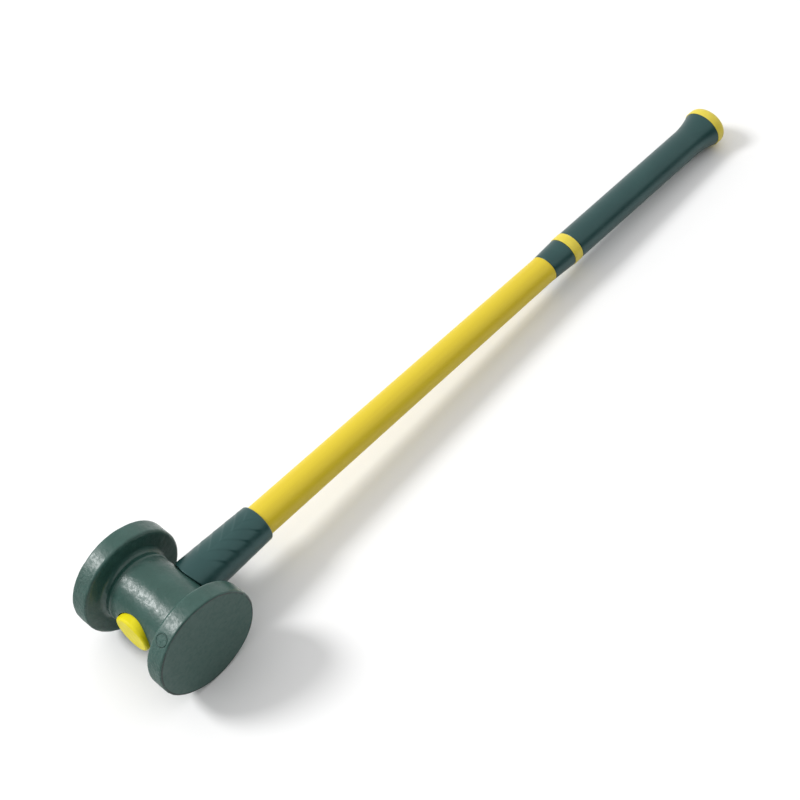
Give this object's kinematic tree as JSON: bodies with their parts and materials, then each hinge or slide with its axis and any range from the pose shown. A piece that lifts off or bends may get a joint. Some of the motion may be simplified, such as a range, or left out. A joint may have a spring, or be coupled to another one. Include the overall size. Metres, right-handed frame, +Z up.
{
  "type": "sledgehammer",
  "caption": "Fencing maul: cast spool head with two broad flat striking discs, on a straight oval fibreglass-cored handle with a rubber guard and grip.",
  "frame": {"origin": "on the resting surface, under the middle of the tool's box as it lies on its side", "axes": "+X along the handle from the head to the butt, +Y along the head's striking axis, +Z up from the surface"},
  "size_m": [0.9318, 0.1324, 0.12],
  "materials": {
    "painted_iron": "satin",
    "green_rubber": "matte",
    "yellow_jacket": "satin",
    "yellow_moulding": "satin",
    "epoxy_resin": "gloss",
    "fibreglass": "matte"
  },
  "bodies": {
    "root": {"head": "painted_iron", "eye_bond": "epoxy_resin", "eye_plug": "yellow_moulding", "core_rod": "fibreglass", "jacket": "yellow_jacket", "overstrike_sleeve": "green_rubber", "grip_collar": "green_rubber", "grip_band": "yellow_moulding", "grip": "green_rubber", "butt_cap": "yellow_moulding"}
  },
  "joints": []
}
